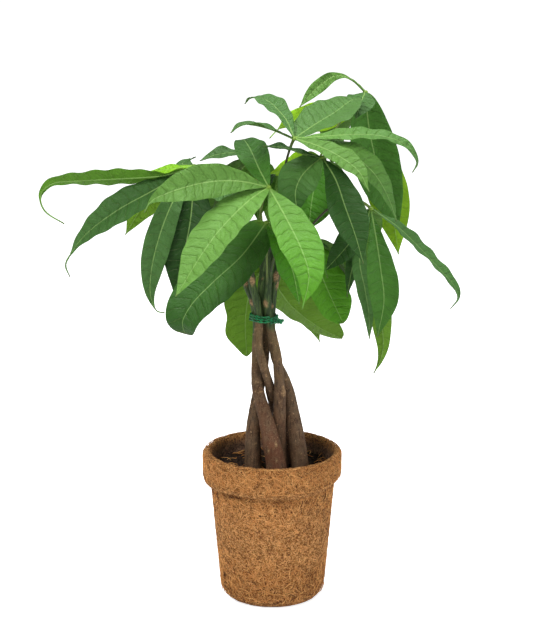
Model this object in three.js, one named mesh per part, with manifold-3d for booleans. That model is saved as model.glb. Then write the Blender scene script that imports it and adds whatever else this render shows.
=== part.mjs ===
// Potted money tree: a pressed coir pot of potting soil, five braided stems held by a twist tie,
// and palmate leaves on long stalks. Millimetres, +Z up, the pot stands on z = 0, the viewer looks along +Y.
import * as THREE from 'three';
import { mergeVertices } from 'three/addons/utils/BufferGeometryUtils.js';
import Module from 'manifold-3d';

const wasm = await Module();
wasm.setup();

// driving dimensions
const potHeight = 152;
const potFootRadius = 50.5;
const potBodyRadius = 61.5;
const collarRadius = 68;
const collarHeight = 30;
const mouthRadius = 61;
const potWall = 5;
const potFloor = 6;
const potSides = 36;
const soilLevel = 133;
const partGap = 0.3;
const stemSides = 8;
const tieLevel = 286;
const tieWire = 0.9;
const bladeThickness = 0.8;
const leastRows = 5;
const stepsPerRow = 4;
const fallSteps = 3;
const foldAngle = 12;

const rad = THREE.MathUtils.degToRad;
const smooth = THREE.MathUtils.smoothstep;

// solid from a closed surface
function solidOf(geometry) {
  const bare = geometry.index ? geometry.toNonIndexed() : geometry.clone();
  for (const key of Object.keys(bare.attributes)) {
    if (key !== 'position') bare.deleteAttribute(key);
  }
  const closed = mergeVertices(bare, 1e-4);
  const mesh = new wasm.Mesh({
    numProp: 3,
    vertProperties: new Float32Array(closed.attributes.position.array),
    triVerts: new Uint32Array(closed.index.array),
  });
  return new wasm.Manifold(mesh);
}

// named mesh from a solid
function meshOf(solid, name, colour, roughness) {
  const data = solid.getMesh();
  const geometry = new THREE.BufferGeometry();
  geometry.setAttribute('position', new THREE.BufferAttribute(new Float32Array(data.vertProperties), 3));
  geometry.setIndex(new THREE.BufferAttribute(new Uint32Array(data.triVerts), 1));
  geometry.computeVertexNormals();
  const material = new THREE.MeshStandardMaterial({ color: colour, roughness, name });
  const mesh = new THREE.Mesh(geometry, material);
  mesh.name = name;
  return mesh;
}

// round rod along a curve, its radius read from a list spread evenly over the length
function rodGeometry(curve, radii, sides, steps, grow = 0) {
  const rod = new THREE.CylinderGeometry(1, 1, 1, sides, steps);
  const frames = curve.computeFrenetFrames(steps, false);
  const spots = rod.attributes.position;
  const along = new THREE.Vector3();
  for (let i = 0; i < spots.count; i += 1) {
    const t = spots.getY(i) + 0.5;
    const step = Math.round(t * steps);
    const place = t * (radii.length - 1);
    const low = Math.min(Math.floor(place), radii.length - 2);
    const radius = radii[low] + (radii[low + 1] - radii[low]) * (place - low) + grow;
    along.copy(curve.getPointAt(t));
    along.addScaledVector(frames.normals[step], spots.getZ(i) * radius);
    along.addScaledVector(frames.binormals[step], spots.getX(i) * radius);
    if (t < 1e-6) along.addScaledVector(frames.tangents[step], -grow);
    if (t > 1 - 1e-6) along.addScaledVector(frames.tangents[step], grow);
    spots.setXYZ(i, along.x, along.y, along.z);
  }
  return rod;
}

// pot: foot, tapered body, rolled collar, open mouth, flat floor
const potProfile = [
  [0, 0],
  [potFootRadius - 8, 0],
  [potFootRadius - 3.6, 1.8],
  [potFootRadius - 1, 5.6],
  [potFootRadius + 0.2, 11],
  [potBodyRadius - 4, 66],
  [potBodyRadius + 0.2, potHeight - collarHeight + 2],
  [collarRadius - 2.6, potHeight - collarHeight - 1],
  [collarRadius + 0.2, potHeight - collarHeight + 3],
  [collarRadius + 0.8, potHeight - 14],
  [collarRadius - 0.5, potHeight - 3],
  [collarRadius - 2.5, potHeight - 0.6],
  [collarRadius - 4.5, potHeight],
  [mouthRadius + 0.4, potHeight - 1.6],
  [mouthRadius - 0.2, potHeight - 6],
  [mouthRadius - 1, potHeight - 18],
  [potFootRadius - potWall + 1, potFloor + 5],
  [potFootRadius - potWall - 4, potFloor],
  [0, potFloor],
];
const potLathe = new THREE.LatheGeometry(potProfile.map(([r, z]) => new THREE.Vector2(r, z)), potSides);
potLathe.rotateX(Math.PI / 2);
const potSpots = potLathe.attributes.position;
for (let i = 0; i < potSpots.count; i += 1) {
  const x = potSpots.getX(i);
  const y = potSpots.getY(i);
  const z = potSpots.getZ(i);
  const reach = Math.hypot(x, y);
  const turn = Math.atan2(y, x);
  // the folded collar is uneven, the wall inside it is round
  const outer = reach > potBodyRadius + 1.5 && z < potHeight - 2 ? 1 : 0;
  const ripple = 0.7 * Math.sin(2 * turn + 0.4) + 0.5 * Math.sin(5 * turn + 1);
  const swell = outer * (ripple - 0.8 * Math.cos(turn));
  const slope = 1.3 * Math.sin(3 * turn + 2) + 0.8 * Math.cos(turn);
  const drop = outer * smooth(potHeight - z, 8, collarHeight) * slope;
  const scale = (reach + swell) / Math.max(reach, 1e-6);
  potSpots.setXYZ(i, x * scale, y * scale, z + drop);
}
const pot = solidOf(potLathe);

// braided stems: [x, y, z] of the middle line from the soil to the shoot tip, and radii along them
const stems = [
  {
    name: 'stem_back',
    path: [[-12, -6, 68], [-17, -9, 116], [-19.5, -10, 151], [-19, -8, 178], [-15, 0, 206],
      [-9.5, 8, 231], [-7, 11, 253], [-7, 10, 272], [-8.5, 7.6, 287], [-11, 9, 306], [-9, 12, 331],
      [-7, 14, 348]],
    radii: [9, 9.8, 9.4, 8.6, 7.2, 6, 5, 4.3, 4.1, 4.1, 4, 3.4],
  },
  {
    name: 'stem_left',
    path: [[6, -20, 66], [5, -23, 111], [3.5, -22.5, 141], [-1.5, -20, 166], [-6.5, -15.5, 187],
      [-12, -11.5, 205], [-15.5, -7, 220], [-16.5, -2, 236], [-16, 2.5, 256], [-15.8, 2.6, 286],
      [-19.5, 2, 304], [-27, 2, 324], [-25, 1, 336]],
    radii: [11, 11.8, 11.4, 10.4, 9.2, 7.9, 6.4, 5.1, 4.4, 4.1, 4, 3.6, 3.2],
  },
  {
    name: 'stem_front',
    path: [[20, 14, 72], [18, 15, 116], [14, 15, 146], [8, 12, 171], [2.4, 6, 193], [-1.4, -2.1, 208],
      [-3.5, -7, 221], [-9.5, -11, 243], [-14, -10, 261], [-13.2, -6.4, 286], [-16, -8, 306],
      [-20, -9, 322], [-20, -10, 334]],
    radii: [8.6, 8.8, 8.8, 8.8, 8.2, 5.7, 4.9, 4.5, 4.2, 4.1, 4, 3.7, 3.2],
  },
  {
    name: 'stem_middle',
    path: [[9, -2, 70], [8, -2, 116], [7, -3, 151], [6.5, -6, 171], [6.5, -10, 191], [7, -12, 211],
      [6, -11, 231], [4, -9, 251], [0.5, -7, 268], [-4, -6.4, 286], [-5.5, -6.6, 306], [-4, -7, 331],
      [-2, -7, 356]],
    radii: [8.4, 9, 9, 8.4, 7, 6, 5.4, 4.8, 4.3, 4.1, 4, 3.8, 3.4],
  },
  {
    name: 'stem_right',
    path: [[26, -4, 68], [28, -7, 111], [27, -8, 138], [24, -6, 164], [20, -2, 186], [16.5, 2, 206],
      [11, 4, 225], [3, 5, 243], [-0.5, 3.8, 260], [-1.2, 2.6, 286], [0, 3.4, 306], [3, 5, 326],
      [5, 6, 344]],
    radii: [9.4, 10, 10, 9, 8.2, 7.2, 6, 4.8, 4.2, 4.1, 4, 3.8, 3.2],
  },
];
for (const stem of stems) {
  stem.curve = new THREE.CatmullRomCurve3(stem.path.map((p) => new THREE.Vector3(...p)));
  stem.tube = solidOf(rodGeometry(stem.curve, stem.radii, stemSides, 22));
  stem.socket = solidOf(rodGeometry(stem.curve, stem.radii, stemSides, 22, partGap));
}
for (let i = 0; i < stems.length; i += 1) {
  stems[i].solid = stems[i].tube;
  for (let j = 0; j < i; j += 1) {
    stems[i].solid = stems[i].solid.subtract(stems[j].socket);
  }
  const pieces = stems[i].solid.decompose();
  pieces.sort((a, b) => b.volume() - a.volume());
  stems[i].solid = pieces[0];
}

// soil: fills the pot, low mounds on top, one hole for each stem
const soilProfile = [
  [0, potFloor + partGap],
  [potFootRadius - potWall - 4.6, potFloor + partGap],
  [potFootRadius - potWall + 0.5, potFloor + 5.2],
  [mouthRadius - 1.4, soilLevel - 2],
  [mouthRadius - 3, soilLevel],
  [mouthRadius - 24, soilLevel],
  [0, soilLevel],
];
const soilLathe = new THREE.LatheGeometry(soilProfile.map(([r, z]) => new THREE.Vector2(r, z)), potSides);
soilLathe.rotateX(Math.PI / 2);
const soilSpots = soilLathe.attributes.position;
for (let i = 0; i < soilSpots.count; i += 1) {
  const x = soilSpots.getX(i);
  const y = soilSpots.getY(i);
  const z = soilSpots.getZ(i);
  if (z > soilLevel - 1) {
    const mound = 1.1 * Math.sin(x * 0.11 + 1) * Math.cos(y * 0.13);
    soilSpots.setZ(i, z + mound + 0.5 * Math.sin(x * 0.3 + y * 0.21));
  }
}
let soil = solidOf(soilLathe);
for (const stem of stems) {
  soil = soil.subtract(stem.socket);
}

// twist tie: two turns of wire round the bundle and its twisted end
const tieTurns = [];
for (let i = 0; i <= 28; i += 1) {
  const turn = rad(-60 + i * 25);
  const level = tieLevel - 2.4 + i * 0.17;
  tieTurns.push(new THREE.Vector3(-8.5 + 13.2 * Math.cos(turn), 0.4 + 13.4 * Math.sin(turn), level));
}
const tieLoop = new THREE.CatmullRomCurve3(tieTurns);
const tieEnd = [];
for (let i = 0; i <= 14; i += 1) {
  const turn = rad(i * 75);
  const swing = 0.9 * Math.min(1, i / 3);
  const inward = -8.5 - i * 0.25 + swing * Math.cos(turn);
  tieEnd.push(new THREE.Vector3(0.5 + i * 0.75, inward, tieLevel + swing * Math.sin(turn)));
}
const tieTail = new THREE.CatmullRomCurve3(tieEnd);
let tie = solidOf(rodGeometry(tieLoop, [tieWire, tieWire], 4, 34));
tie = tie.add(solidOf(rodGeometry(tieTail, [1.2, 1.1], 4, 16)));
for (const stem of stems) {
  tie = tie.subtract(stem.socket);
}

// leaves: stem, height the stalk leaves it, hub, bow of the stalk, and the blades round the hub
// blade: width, where its upper face looks at the root, and its middle line from hub to tip, either a path
// set against the photo or, for one that isn't seen, a fall: heading, rise, droop (degrees) and length
// where a blade differs: peak above 1.12 widens it further out, full below 0.9 blunts it, tail is a thin share
const leaves = [
  {
    name: 'leaf_front_centre', stem: 'stem_front', from: 324, hub: [-4, -70, 428], bow: 8,
    blades: [
      { width: 31, face: [0.2, -1, 0.6], peak: 1.25, full: 0.6, point: 0.1,
        path: [[-13, -56, 443], [-20, -38, 456], [-26, -20, 463], [-29, -8, 463]] },
      { width: 35, face: [0, -0.85, 0.6], tail: 0.04,
        path: [[-32, -83, 436], [-62, -96, 437], [-96, -113, 430], [-110, -121, 424], [-116, -125, 415]] },
      { width: 45, face: [-0.3, -0.7, 0.8], peak: 0.95, full: 0.75,
        path: [[-21, -90, 420], [-48, -120, 398], [-64, -137, 379], [-80, -152, 355], [-87, -158, 345]] },
      { width: 41, face: [0.2, -0.8, 0.6], full: 0.75, tail: 0.04,
        path: [[11, -98, 406], [26, -126, 380], [32, -141, 360], [26, -150, 331]] },
      { fall: [100, 30, 60, 46], width: 22 },
    ],
  },
  {
    name: 'leaf_front_low', stem: 'stem_middle', from: 312, hub: [-6, -40, 389], bow: -20,
    blades: [
      { width: 54, face: [-0.3, -0.8, 0.5], peak: 1, full: 0.36, point: 0,
        path: [[-29, -58, 361], [-56, -76, 339], [-76, -88, 320], [-84, -92, 305], [-82, -86, 292]] },
      { fall: [305, -25, 55, 90], width: 38 },
      { fall: [345, 0, 80, 84], width: 32 },
    ],
  },
  {
    name: 'leaf_left', stem: 'stem_left', from: 328, hub: [-75, -10, 438], bow: 10,
    blades: [
      { width: 26, face: [0, 0.7, 0.7], peak: 1.25, tail: 0.16,
        path: [[-105, -10, 429], [-145, -10, 426], [-185, -10, 424], [-211, -8, 421], [-223, -6, 410],
          [-220, -5, 394], [-201, -6, 381]] },
      { width: 34, face: [-0.2, -0.75, 0.65], tail: 0.12,
        path: [[-112, -12, 416], [-149, -10, 395], [-180, -6, 371], [-195, -4, 352], [-201, -3, 339],
          [-197, -4, 328]] },
      { width: 32, face: [0.2, 0.8, 0.4],
        path: [[-104, 10, 416], [-128, 22, 391], [-145, 30, 363]] },
      { path: [[-95, -14, 436], [-118, -12, 433]], width: 14, face: [0, -0.3, 1] },
      { path: [[-87, 8, 437], [-75, 26, 441]], width: 18, face: [0, -0.6, 0.8] },
      { fall: [95, -15, 70, 80], width: 34 },
      { width: 36, face: [0.1, -0.8, 0.6],
        path: [[-55, -18, 426], [-36, -28, 412], [-22, -34, 398]] },
      { width: 27, face: [0.2, -0.9, 0.3], tail: 0.05,
        path: [[-96, -32, 405], [-109, -42, 371], [-116, -46, 339], [-116, -48, 318], [-110, -50, 305],
          [-103, -51, 304]] },
      { path: [[-78, -28, 392], [-85, -38, 356], [-94, -44, 318]], width: 48, face: [0, -1, 0.3] },
    ],
  },
  {
    name: 'leaf_top', stem: 'stem_middle', from: 350, hub: [20, -35, 468], bow: 0,
    blades: [
      { width: 24, face: [0.3, -0.8, 0.5],
        path: [[13, -20, 483], [6, -6, 490], [-2, 8, 496], [-12, 22, 499], [-22, 34, 497],
          [-27, 40, 491]] },
      { width: 22, face: [0, -0.1, 1],
        path: [[0, -46, 478], [-18, -56, 484], [-30, -62, 485], [-39, -66, 478]] },
      { width: 48, face: [-0.3, -0.6, 0.75], peak: 0.95, full: 0.75,
        path: [[40, -12, 478], [60, 10, 487], [76, 32, 495], [86, 48, 495]] },
      { width: 20, face: [0, -0.45, 0.9],
        path: [[50, -40, 471], [80, -42, 473], [104, -42, 471], [121, -42, 465], [132, -42, 455],
          [135, -42, 446], [131, -42, 437]] },
      { width: 25, face: [0, -0.5, 0.85],
        path: [[42, -54, 464], [62, -68, 456], [79, -80, 444], [88, -88, 427]] },
      { width: 28, face: [0.2, -0.6, 0.75],
        path: [[50, -42, 463], [75, -48, 454], [95, -52, 437], [108, -54, 415], [116, -54, 393]] },
    ],
  },
  {
    name: 'leaf_high_right', stem: 'stem_right', from: 340, hub: [92, 75, 498], bow: 0,
    blades: [
      { width: 19, face: [-0.2, -0.6, 0.8], peak: 1.6,
        path: [[78, 68, 511], [62, 58, 516], [46, 46, 508], [35, 36, 499], [26, 30, 489]] },
      { path: [[86, 50, 490], [81, 30, 478]], width: 30, face: [0, -0.6, 0.8] },
      { width: 48, face: [0.1, -1, 0.2], peak: 0.97, full: 0.55,
        path: [[96, 77, 463], [106, 78, 420], [117, 78, 388], [127, 78, 364]] },
      { width: 44, face: [0.1, 1, 0.1], peak: 1.45,
        path: [[97, 88, 462], [110, 94, 415], [122, 96, 372], [129, 96, 329]] },
      { width: 32, face: [0, 1, 0.2], tail: 0.1,
        path: [[64, 72, 478], [38, 70, 472], [17, 66, 470], [7, 63, 464], [-3, 60, 454]] },
      { fall: [115, -10, 80, 120], width: 40 },
    ],
  },
  {
    name: 'leaf_right', stem: 'stem_right', from: 324, hub: [95, 5, 394], bow: 45,
    blades: [
      { width: 27, face: [0.2, -0.3, 0.9],
        path: [[121, 5, 376], [142, 4, 356], [164, 2, 333], [177, 1, 318], [181, 0, 306], [174, 0, 295]] },
      { width: 31, face: [0.1, -1, 0.1], peak: 1.35,
        path: [[99, -8, 372], [104, -20, 339], [107, -28, 310], [101, -32, 275]] },
      { width: 24, face: [0, 1, 0],
        path: [[102, 16, 350], [107, 20, 290], [110, 21, 250], [107, 21, 236], [101, 20, 224]] },
      { width: 16, face: [-0.3, -0.9, 0.3], full: 0.6,
        path: [[86, -8, 368], [84, -14, 345], [89, -18, 320], [93, -20, 296], [94, -20, 270]] },
      { path: [[84, 0, 374], [68, -6, 354], [50, -10, 335]], width: 28, face: [-0.3, -0.8, 0.5] },
      { path: [[84, -4, 362], [77, -10, 338], [72, -12, 310]], width: 15, face: [-0.2, -1, 0.3] },
      { fall: [95, -10, 80, 115], width: 40 },
    ],
  },
  {
    name: 'leaf_upper_front', stem: 'stem_middle', from: 326, hub: [46, -45, 452], bow: -5,
    blades: [
      { width: 40, face: [-0.4, -0.8, 0.4], peak: 0.95, full: 0.7,
        path: [[35, -50, 444], [26, -57, 435], [21, -62, 422], [23, -64, 403]] },
      { width: 36, face: [0.2, -0.9, 0.5],
        path: [[58, -60, 434], [67, -76, 410], [76, -90, 386], [83, -98, 362]] },
      { path: [[30, -52, 456], [12, -60, 463], [-9, -68, 466]], width: 16, face: [0, -0.3, 1] },
      { path: [[30, -25, 447], [10, -5, 434], [-8, 8, 424]], width: 24, face: [0, -0.8, 0.6] },
    ],
  },
  {
    name: 'leaf_inner', stem: 'stem_right', from: 302, hub: [32, 20, 364], bow: 0,
    blades: [
      { width: 42, face: [0.3, -0.9, 0.3], peak: 1.3, full: 0.45, point: 0.2,
        path: [[42, 12, 341], [53, 4, 315], [69, -2, 281]] },
      { fall: [5, -25, 60, 80], width: 34 },
      { fall: [60, -15, 75, 125], width: 42 },
    ],
  },
  {
    name: 'leaf_back_low', stem: 'stem_back', from: 312, hub: [-5, 28, 336], bow: -10,
    blades: [
      { width: 43, face: [-0.2, 1, 0.2], peak: 1.25, full: 0.6, point: 0.1,
        path: [[-20, 33, 312], [-27, 38, 278], [-26, 40, 236]] },
      { width: 48, face: [0.4, 0.8, 0.3], full: 0.42, point: 0.05,
        path: [[6, 40, 307], [20, 52, 285], [44, 63, 263], [71, 73, 246]] },
      { path: [[12, 50, 310], [32, 74, 280], [49, 95, 237]], width: 34, face: [0.3, 0.9, 0.2] },
      { fall: [95, -10, 80, 135], width: 44 },
      { fall: [180, -10, 60, 76], width: 34 },
    ],
  },
  {
    name: 'leaf_back_left', stem: 'stem_back', from: 342, hub: [-20, 45, 440], bow: 0,
    blades: [
      { path: [[-39, 38, 443], [-55, 32, 442], [-71, 26, 437]], width: 20, face: [0, -0.35, 0.95] },
      { fall: [160, -45, 50, 110], width: 42 },
      { fall: [115, -20, 50, 130], width: 46 },
      { fall: [85, -15, 75, 105], width: 40 },
    ],
  },
  {
    name: 'leaf_back_right', stem: 'stem_right', from: 332, hub: [50, 95, 426], bow: 5,
    blades: [
      { fall: [78, -5, 88, 86], width: 32 },
      { fall: [102, 8, 90, 116], width: 38 },
      { fall: [132, 0, 90, 124], width: 42 },
      { fall: [168, -30, 60, 84], width: 36 },
      { fall: [254, -25, 50, 80], width: 60, full: 0.6, point: 0.2 },
    ],
  },
  {
    name: 'leaf_back', stem: 'stem_back', from: 328, hub: [-40, 85, 364], bow: 0,
    blades: [
      { fall: [65, -15, 70, 120], width: 42 },
      { fall: [105, -10, 70, 135], width: 44 },
      { fall: [172, -15, 70, 80], width: 38 },
      { fall: [205, -35, 50, 70], width: 34 },
      { fall: [20, -15, 70, 80], width: 34 },
    ],
  },
];

// half width of a blade at s along it
function bladeHalf(s, { width, peak = 1.12, full = 0.9, tail = 0, point = 0.55 }) {
  const u = Math.min(s / (1 - tail), 1);
  const swell = Math.max(0, Math.sin(Math.PI * u ** peak)) ** full * (1 - point * u ** 8);
  return Math.max(width / 2 * swell, 1.2 - 0.6 * s);
}

// middle line of a blade, from the hub to its tip
function bladeCurve(hub, blade) {
  const points = [new THREE.Vector3(...hub)];
  if (blade.path) {
    points.push(...blade.path.map((p) => new THREE.Vector3(...p)));
  } else {
    const [heading, rise, droop, length] = blade.fall;
    for (let i = 0; i < fallSteps; i += 1) {
      const tilt = rad(rise - droop * (i + 0.5) / fallSteps);
      const step = new THREE.Vector3(Math.cos(rad(heading)), Math.sin(rad(heading)), Math.tan(tilt));
      points.push(points[i].clone().addScaledVector(step.normalize(), length / fallSteps));
    }
  }
  return new THREE.CatmullRomCurve3(points);
}

// closed blade of even thickness along its middle line, its upper face carried along without twist
function bladeGeometry(hub, blade, order) {
  const curve = bladeCurve(hub, blade);
  const rows = leastRows + curve.points.length;
  const plate = new THREE.PlaneGeometry(2, 1, 2, rows);
  const flat = plate.attributes.position;
  const count = flat.count;
  const spots = new Float32Array(count * 6);
  const tops = [new THREE.Vector3(...(blade.face ?? [0, 0, 1]))];
  for (let i = 0; i <= rows * stepsPerRow; i += 1) {
    const ahead = curve.getTangentAt(i / (rows * stepsPerRow));
    tops[i] = (tops[i - 1] ?? tops[0]).clone().projectOnPlane(ahead).normalize();
  }
  for (let i = 0; i < count; i += 1) {
    const across = flat.getX(i);
    const s = 0.5 - flat.getY(i);
    const top = tops[Math.round(s * rows) * stepsPerRow];
    const edge = curve.getTangentAt(s).cross(top);
    const half = bladeHalf(s, blade);
    const wave = 1.3 * Math.sin(s * 11 + order * 2 + across * 1.5) * Math.sin(Math.PI * s);
    const lift = Math.abs(across) * (half * Math.sin(rad(foldAngle)) + wave);
    const spot = curve.getPointAt(s);
    spot.addScaledVector(edge, across * half * Math.cos(rad(foldAngle)));
    spot.addScaledVector(top, lift + bladeThickness / 2);
    spots.set([spot.x, spot.y, spot.z], i * 3);
    spot.addScaledVector(top, -bladeThickness);
    spots.set([spot.x, spot.y, spot.z], (count + i) * 3);
  }
  const index = [];
  const tri = plate.index.array;
  for (let i = 0; i < tri.length; i += 3) {
    index.push(tri[i], tri[i + 2], tri[i + 1]);
    index.push(count + tri[i], count + tri[i + 1], count + tri[i + 2]);
  }
  // rim: walk round the plate, left side down, tip, right side up, root
  const rim = [];
  for (let row = 0; row <= rows; row += 1) rim.push(row * 3);
  rim.push(rows * 3 + 1);
  for (let row = rows; row >= 0; row -= 1) rim.push(row * 3 + 2);
  rim.push(1);
  for (let i = 0; i < rim.length; i += 1) {
    const a = rim[i];
    const b = rim[(i + 1) % rim.length];
    index.push(a, b, count + a);
    index.push(b, count + b, count + a);
  }
  const geometry = new THREE.BufferGeometry();
  geometry.setAttribute('position', new THREE.BufferAttribute(spots, 3));
  geometry.setIndex(index);
  return geometry;
}

// stalk from its stem to the hub
function stalkCurve(leaf) {
  const stem = stems.find((one) => one.name === leaf.stem);
  let best = 0;
  for (let i = 0; i <= 200; i += 1) {
    const gap = Math.abs(stem.curve.getPointAt(i / 200).z - leaf.from);
    if (gap < Math.abs(stem.curve.getPointAt(best).z - leaf.from)) best = i / 200;
  }
  const root = stem.curve.getPointAt(best);
  const hub = new THREE.Vector3(...leaf.hub);
  const out = new THREE.Vector3(hub.x - root.x, hub.y - root.y, 0);
  const climb = hub.z - root.z;
  const first = root.clone().addScaledVector(out, 0.18).add(new THREE.Vector3(0, 0, climb * 0.3 + 5));
  const second = root.clone().addScaledVector(out, 0.62).add(new THREE.Vector3(0, 0, climb * 0.86 + leaf.bow));
  return new THREE.CubicBezierCurve3(root, first, second, hub);
}

function leafSolid(leaf) {
  let solid = solidOf(rodGeometry(stalkCurve(leaf), [2, 1.5, 1.4, 1.7], 5, 8));
  const stem = stems.find((one) => one.name === leaf.stem);
  solid = solid.subtract(stem.socket);
  const knuckle = new THREE.SphereGeometry(3.2, 7, 5);
  knuckle.scale(1, 1, 0.8);
  knuckle.translate(...leaf.hub);
  solid = solid.add(solidOf(knuckle));
  leaf.blades.forEach((blade, order) => {
    solid = solid.add(solidOf(bladeGeometry(leaf.hub, blade, order)));
  });
  return solid;
}

const group = new THREE.Group();
group.name = 'potted_money_tree';
group.add(meshOf(pot, 'coir_pot', 0x9a6a42, 0.95));
group.add(meshOf(soil, 'potting_soil', 0x2b211b, 1));
for (const stem of stems) {
  group.add(meshOf(stem.solid, stem.name, 0x6b4f3c, 0.85));
}
group.add(meshOf(tie, 'twist_tie', 0x2f7a44, 0.5));
for (const leaf of leaves) {
  group.add(meshOf(leafSolid(leaf), leaf.name, 0x4d8a3d, 0.45));
}
export default group;
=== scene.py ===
# Potted money tree: five braided stems in a pressed coir pot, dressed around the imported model.
import random
from math import atan2, cos, exp, hypot, pi, radians, sin, sqrt, tan

import bmesh
import bpy
from mathutils import Matrix, Vector, noise


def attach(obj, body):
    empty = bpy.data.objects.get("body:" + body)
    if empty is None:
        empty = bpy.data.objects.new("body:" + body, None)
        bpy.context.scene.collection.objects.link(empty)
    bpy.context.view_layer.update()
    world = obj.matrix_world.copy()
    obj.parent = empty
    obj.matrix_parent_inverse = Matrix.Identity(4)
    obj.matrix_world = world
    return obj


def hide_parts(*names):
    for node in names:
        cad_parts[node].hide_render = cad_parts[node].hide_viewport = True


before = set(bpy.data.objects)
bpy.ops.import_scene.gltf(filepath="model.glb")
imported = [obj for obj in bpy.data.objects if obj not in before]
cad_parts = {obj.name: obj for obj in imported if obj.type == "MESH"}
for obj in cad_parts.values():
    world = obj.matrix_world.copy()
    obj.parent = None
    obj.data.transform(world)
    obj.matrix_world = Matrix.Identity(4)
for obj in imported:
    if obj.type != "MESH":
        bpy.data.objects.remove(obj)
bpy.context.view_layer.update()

mm = 0.001
world = bpy.context.scene.collection


# small helpers: numbers and curves, all in millimetres until a mesh is made

def smoothRise(value, low, high):
    share = min(max((value - low) / (high - low), 0.0), 1.0)
    return share * share * (3 - 2 * share)


def readList(values, share):
    place = min(max(share, 0.0), 1.0) * (len(values) - 1)
    low = min(int(place), len(values) - 2)
    return values[low] + (values[low + 1] - values[low]) * (place - low)


def evenLine(points, count):
    # the same line again, with count steps of one length
    lengths = [0.0]
    for i in range(1, len(points)):
        lengths.append(lengths[-1] + (points[i] - points[i - 1]).length)
    line, at = [], 0
    for i in range(count + 1):
        goal = lengths[-1] * i / count
        while at < len(points) - 2 and lengths[at + 1] < goal:
            at += 1
        step = lengths[at + 1] - lengths[at]
        line.append(points[at].lerp(points[at + 1], (goal - lengths[at]) / step if step else 0.0))
    return line


def splineLine(corners, count):
    # centripetal spline through the corners, as the frame's stems have
    corners = [Vector(c) for c in corners]
    corners = [2 * corners[0] - corners[1]] + corners + [2 * corners[-1] - corners[-2]]
    points = []
    for i in range(1, len(corners) - 2):
        p0, p1, p2, p3 = corners[i - 1:i + 3]
        gaps = [max((b - a).length_squared ** 0.25, 1e-4) for a, b in ((p0, p1), (p1, p2), (p2, p3))]
        leave = (p1 - p0) / gaps[0] - (p2 - p0) / (gaps[0] + gaps[1]) + (p2 - p1) / gaps[1]
        enter = (p2 - p1) / gaps[1] - (p3 - p1) / (gaps[1] + gaps[2]) + (p3 - p2) / gaps[2]
        leave, enter = leave * gaps[1], enter * gaps[1]
        for k in range(24):
            t = k / 24
            points.append(p1 + leave * t + (3 * (p2 - p1) - 2 * leave - enter) * t ** 2
                          + (2 * (p1 - p2) + leave + enter) * t ** 3)
    points.append(corners[-2])
    return evenLine(points, count)


def bentLine(root, first, second, end, count):
    points = []
    for i in range(count * 3 + 1):
        t = i / (count * 3)
        u = 1 - t
        points.append(root * u ** 3 + first * 3 * t * u ** 2 + second * 3 * t * t * u + end * t ** 3)
    return evenLine(points, count)


def lineFrames(line):
    # two directions square to the line at each point, carried along without twist
    frames = []
    side = None
    for i, point in enumerate(line):
        ahead = (line[min(i + 1, len(line) - 1)] - line[max(i - 1, 0)]).normalized()
        if side is None:
            side = ahead.cross(Vector((0, 1, 0.02))).normalized()
        side = (side - ahead * side.dot(ahead)).normalized()
        frames.append((ahead, side, ahead.cross(side)))
    return frames


def closeEnds(bm, verts):
    verts = [v for v in verts if v.is_valid]
    rims = [e for e in {e for v in verts for e in v.link_edges} if e.is_boundary]
    if rims:
        bmesh.ops.holes_fill(bm, edges=rims, sides=0)


def growTube(bm, line, radiusAt, sides, mark=None, material=0):
    # a grid rolled up round the line and closed at both ends
    rows = len(line) - 1
    frames = lineFrames(line)
    grid = bmesh.ops.create_grid(bm, x_segments=sides, y_segments=rows, size=1.0)["verts"]
    for face in {f for v in grid for f in v.link_faces}:
        face.material_index = material
    for vert in grid:
        turn = (vert.co.x + 1) * pi
        row = round((vert.co.y + 1) / 2 * rows)
        ahead, side, back = frames[row]
        reach = side * cos(turn) + back * sin(turn)
        radius = radiusAt(row / rows, turn, line[row] + reach)
        vert.co = (line[row] + reach * radius) * mm
        if mark:
            mark(vert, row / rows, turn, line[row] + reach * radius)
    bmesh.ops.remove_doubles(bm, verts=grid, dist=3e-7)
    closeEnds(bm, grid)


def makePiece(name, bm, materials, nodes=()):
    bmesh.ops.recalc_face_normals(bm, faces=bm.faces)
    for face in bm.faces:
        face.smooth = True
    mesh = bpy.data.meshes.new(name)
    bm.to_mesh(mesh)
    bm.free()
    for material in materials:
        mesh.materials.append(material)
    piece = bpy.data.objects.new(name, mesh)
    world.objects.link(piece)
    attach(piece, "root")
    if nodes:
        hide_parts(*nodes)
    print("made", name, "with", len(mesh.polygons), "faces")


# small helpers: shader nodes

def addNode(tree, kind, links=None, **settings):
    made = tree.nodes.new(kind)
    for key, value in settings.items():
        setattr(made, key, value)
    for key, value in (links or {}).items():
        if isinstance(value, bpy.types.NodeSocket):
            tree.links.new(value, made.inputs[key])
        else:
            made.inputs[key].default_value = value
    return made


def calc(tree, operation, first, second=0.5, third=0.0):
    return addNode(tree, "ShaderNodeMath", {0: first, 1: second, 2: third}, operation=operation).outputs[0]


def times(tree, first, second):
    return calc(tree, "MULTIPLY", first, second)


def rise(tree, value, low, high, start=0.0, end=1.0):
    made = addNode(tree, "ShaderNodeMapRange", {0: value, 1: low, 2: high, 3: start, 4: end},
                   interpolation_type="SMOOTHSTEP")
    return made.outputs[0]


def mixTint(tree, share, first, second, mode="MIX"):
    def full(tint):
        return (*tint, 1.0) if isinstance(tint, tuple) and len(tint) == 3 else tint
    values = {0: share, 6: full(first), 7: full(second)}
    return addNode(tree, "ShaderNodeMix", values, data_type="RGBA", blend_type=mode).outputs[2]


def stain(tree, base, share, strength, tint, mode="MIX"):
    return mixTint(tree, times(tree, share, strength), base, tint, mode)


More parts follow.
